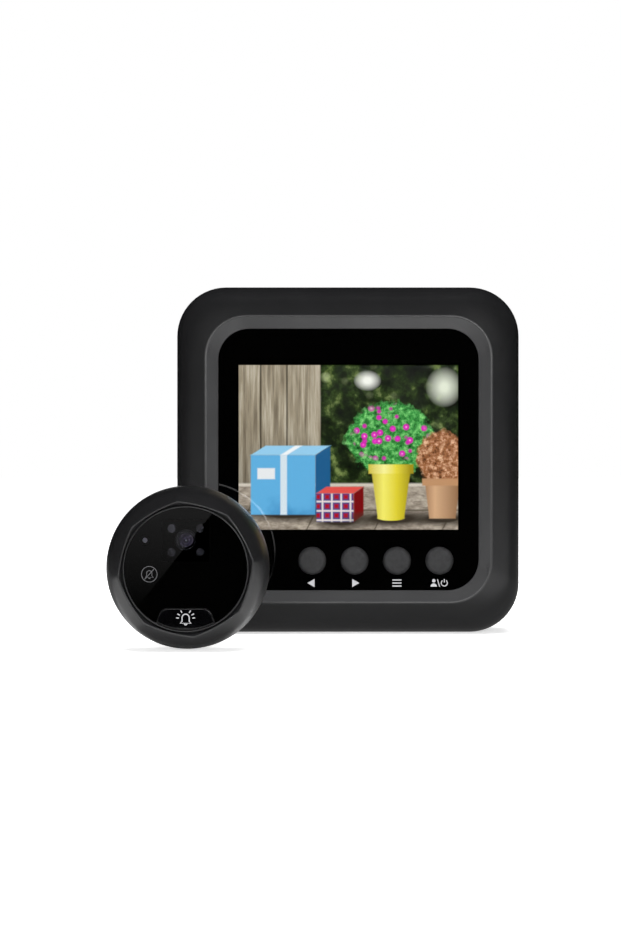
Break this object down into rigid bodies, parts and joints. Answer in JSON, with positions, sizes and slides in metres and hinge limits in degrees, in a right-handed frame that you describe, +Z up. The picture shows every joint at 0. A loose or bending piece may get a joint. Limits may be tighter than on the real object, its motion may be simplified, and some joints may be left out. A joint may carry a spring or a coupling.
{
  "type": "peephole door camera",
  "caption": "Square indoor monitor with lit screen and round keys on a door bracket, with a round outdoor camera with a bell key on a threaded barrel.",
  "frame": {"origin": "on the peephole's axis, in the plane of the door's inner face, which the bracket's back lies on", "axes": "+X to the right as seen from the room, +Y from the room into the door, +Z up"},
  "size_m": [0.1046, 0.071, 0.0916],
  "materials": {
    "black_casing": "finely textured black ABS",
    "button_rubber": "matt dark grey silicone rubber",
    "clear_window": "clear polished acrylic",
    "dark_glass": "smoked polished acrylic",
    "gloss_black": "high-gloss black",
    "black_print": "printed matt black",
    "lit_screen": "lit liquid crystal panel",
    "steel": "bright zinc-plated steel",
    "foam": "black closed-cell foam",
    "circuit_board": "green solder mask on glass-fibre board",
    "chip_plastic": "moulded black epoxy",
    "socket_plastic": "natural white nylon",
    "cell_sleeve": "steel can in a printed plain sleeve",
    "lens_glass": "coated optical glass",
    "lamp_lens": "clear moulded epoxy",
    "barrel_metal": "nickel-plated brass"
  },
  "bodies": {
    "monitor": {"front_bezel": "black_casing", "display_window": "clear_window", "window_print": "black_print", "screen_panel": "lit_screen", "screen_tray": "steel", "screen_foam": "foam", "main_board": "circuit_board", "board_chips": "chip_plastic", "tact_switches": "chip_plastic", "board_screws": "steel", "ribbon_socket": "socket_plastic", "speaker": "steel", "rear_case": "black_casing", "battery_cells": "cell_sleeve", "battery_contacts": "steel", "case_screws": "steel"},
    "left_button": {"left_button": "button_rubber"},
    "right_button": {"right_button": "button_rubber"},
    "menu_button": {"menu_button": "button_rubber"},
    "power_button": {"power_button": "button_rubber"},
    "battery_cover": {"battery_cover": "black_casing"},
    "door_bracket": {"door_bracket": "steel"},
    "outdoor_camera": {"bell_shell": "black_casing", "face_glass": "dark_glass", "face_print": "black_print", "camera_holder": "chip_plastic", "camera_lens": "lens_glass", "infrared_lamps": "lamp_lens", "light_sensor": "lamp_lens", "outdoor_board": "circuit_board", "outdoor_screws": "steel", "outdoor_chips": "chip_plastic", "bell_switch": "chip_plastic", "outdoor_socket": "socket_plastic", "back_plate": "black_casing", "door_seal": "foam", "plate_screws": "steel", "threaded_barrel": "barrel_metal"},
    "bell_key": {"bell_key": "gloss_black"},
    "clamp_washer": {"clamp_washer": "barrel_metal"},
    "lock_nut": {"lock_nut": "barrel_metal"}
  },
  "joints": [
    {"name": "left_press", "type": "slide", "parent": "monitor", "child": "left_button", "axis": [0, 1, 0], "range_m": [0, 0.0005], "stiffness_N_per_m": 600},
    {"name": "right_press", "type": "slide", "parent": "monitor", "child": "right_button", "axis": [0, 1, 0], "range_m": [0, 0.0005], "stiffness_N_per_m": 600},
    {"name": "menu_press", "type": "slide", "parent": "monitor", "child": "menu_button", "axis": [0, 1, 0], "range_m": [0, 0.0005], "stiffness_N_per_m": 600},
    {"name": "power_press", "type": "slide", "parent": "monitor", "child": "power_button", "axis": [0, 1, 0], "range_m": [0, 0.0005], "stiffness_N_per_m": 600},
    {"name": "cover_slide", "type": "slide", "parent": "monitor", "child": "battery_cover", "axis": [1, 0, 0], "range_m": [0, 0.006]},
    {"name": "bracket_slide", "type": "slide", "parent": "monitor", "child": "door_bracket", "axis": [0, 0, -1], "range_m": [0, 0.007]},
    {"name": "outdoor_lift", "type": "slide", "parent": "monitor", "child": "outdoor_camera", "axis": [0, 0, 1], "range_m": [0, 0.12]},
    {"name": "bell_press", "type": "slide", "parent": "outdoor_camera", "child": "bell_key", "axis": [0, 1, 0], "range_m": [0, 0.0005], "stiffness_N_per_m": 600},
    {"name": "washer_travel", "type": "slide", "parent": "outdoor_camera", "child": "clamp_washer", "axis": [0, 1, 0], "range_m": [-0.0045, 0.018]},
    {"name": "nut_turn", "type": "hinge", "parent": "clamp_washer", "child": "lock_nut", "pos_m": [-0.0395, -0.0492, -0.0441], "axis": [0, 1, 0], "range_deg": [-1090, 4330]}
  ],
  "couplings": [
    {"joint": "nut_turn", "follows": "washer_travel", "rad_per_m": 4188.8}
  ]
}
